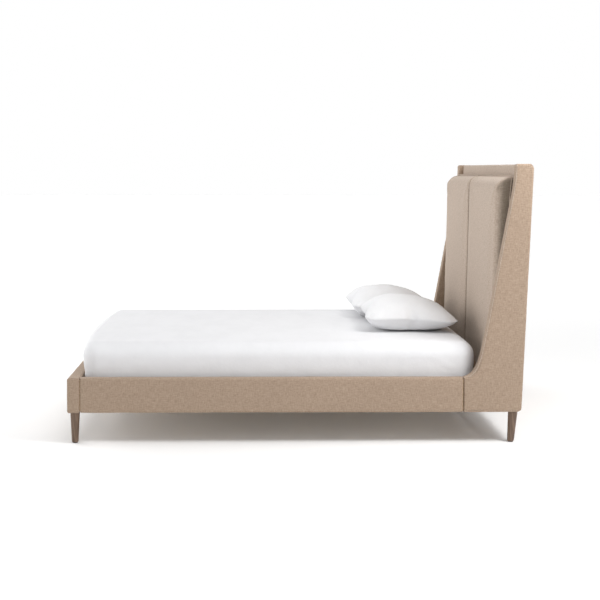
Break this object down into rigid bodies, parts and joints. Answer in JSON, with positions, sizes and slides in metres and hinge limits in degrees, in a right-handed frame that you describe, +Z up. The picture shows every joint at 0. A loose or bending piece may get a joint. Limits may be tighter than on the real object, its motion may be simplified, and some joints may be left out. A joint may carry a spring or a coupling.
{
  "type": "upholstered headboard bed",
  "caption": "Queen bed with padded rails and footboard, a leaning winged headboard with tall cushions, tapered wooden legs, slatted base, mattress in a white sheet, and pillows.",
  "frame": {"origin": "on the floor, under the centre of the whole box", "axes": "+X to the right side seen from the foot, +Y along the bed to the headboard, +Z up"},
  "size_m": [1.7, 2.38, 1.432],
  "materials": {
    "upholstery": "woven, heathered taupe",
    "leg_wood": "satin, stained grey-brown",
    "frame_timber": "planed softwood",
    "plywood": "sanded plywood",
    "black_steel": "satin black",
    "zinc_steel": "zinc plated",
    "felt": "pressed felt",
    "black_plastic": "moulded",
    "webbing": "woven strap",
    "ticking": "quilted knit",
    "sheet_cotton": "plain white cotton",
    "pillow_cotton": "plain white cotton"
  },
  "bodies": {
    "bed_frame": {"headboard_left_post": "frame_timber", "headboard_right_post": "frame_timber", "headboard_top_rail": "frame_timber", "headboard_bottom_rail": "frame_timber", "headboard_noggins": "frame_timber", "headboard_centre_stile": "frame_timber", "headboard_front_board": "plywood", "headboard_cover": "upholstery", "headboard_back_cloth": "upholstery", "left_wing_core": "frame_timber", "right_wing_core": "frame_timber", "left_wing_cover": "upholstery", "right_wing_cover": "upholstery", "left_headboard_cushion": "upholstery", "right_headboard_cushion": "upholstery", "cushion_boards": "plywood", "left_rail_core": "frame_timber", "right_rail_core": "frame_timber", "left_rail_cover": "upholstery", "right_rail_cover": "upholstery", "footboard_core": "frame_timber", "footboard_cover": "upholstery", "left_slat_ledge": "frame_timber", "right_slat_ledge": "frame_timber", "head_cross_rail": "frame_timber", "centre_beam": "frame_timber", "beam_hangers": "black_steel", "corner_brackets": "black_steel", "joining_plates": "black_steel", "bed_bolts": "zinc_steel", "wing_bolts": "zinc_steel", "wood_screws": "zinc_steel", "foot_left_leg": "leg_wood", "foot_right_leg": "leg_wood", "head_left_leg": "leg_wood", "head_right_leg": "leg_wood", "leg_plates": "black_steel", "leg_hanger_bolts": "zinc_steel", "leg_glides": "felt", "foot_support_leg": "frame_timber", "head_support_leg": "frame_timber", "slat_1": "frame_timber", "slat_2": "frame_timber", "slat_3": "frame_timber", "slat_4": "frame_timber", "slat_5": "frame_timber", "slat_6": "frame_timber", "slat_7": "frame_timber", "slat_8": "frame_timber", "slat_9": "frame_timber", "slat_10": "frame_timber", "slat_11": "frame_timber", "slat_12": "frame_timber", "slat_straps": "webbing"},
    "mattress_and_sheet": {"mattress": "ticking", "fitted_sheet": "sheet_cotton"},
    "left_pillow_body": {"left_pillow": "pillow_cotton"},
    "right_pillow_body": {"right_pillow": "pillow_cotton"},
    "foot_levelling_foot_body": {"foot_levelling_foot": "black_plastic"},
    "head_levelling_foot_body": {"head_levelling_foot": "black_plastic"}
  },
  "joints": [
    {"name": "mattress_lift", "type": "slide", "parent": "bed_frame", "child": "mattress_and_sheet", "axis": [0, 0, 1], "range_m": [0, 0.35]},
    {"name": "left_pillow_lift", "type": "slide", "parent": "mattress_and_sheet", "child": "left_pillow_body", "axis": [0, 0, 1], "range_m": [0, 0.3]},
    {"name": "right_pillow_lift", "type": "slide", "parent": "mattress_and_sheet", "child": "right_pillow_body", "axis": [0, 0, 1], "range_m": [0, 0.3]},
    {"name": "foot_levelling", "type": "slide", "parent": "bed_frame", "child": "foot_levelling_foot_body", "axis": [0, 0, 1], "range_m": [0, 0.011]},
    {"name": "head_levelling", "type": "slide", "parent": "bed_frame", "child": "head_levelling_foot_body", "axis": [0, 0, 1], "range_m": [0, 0.011]}
  ]
}
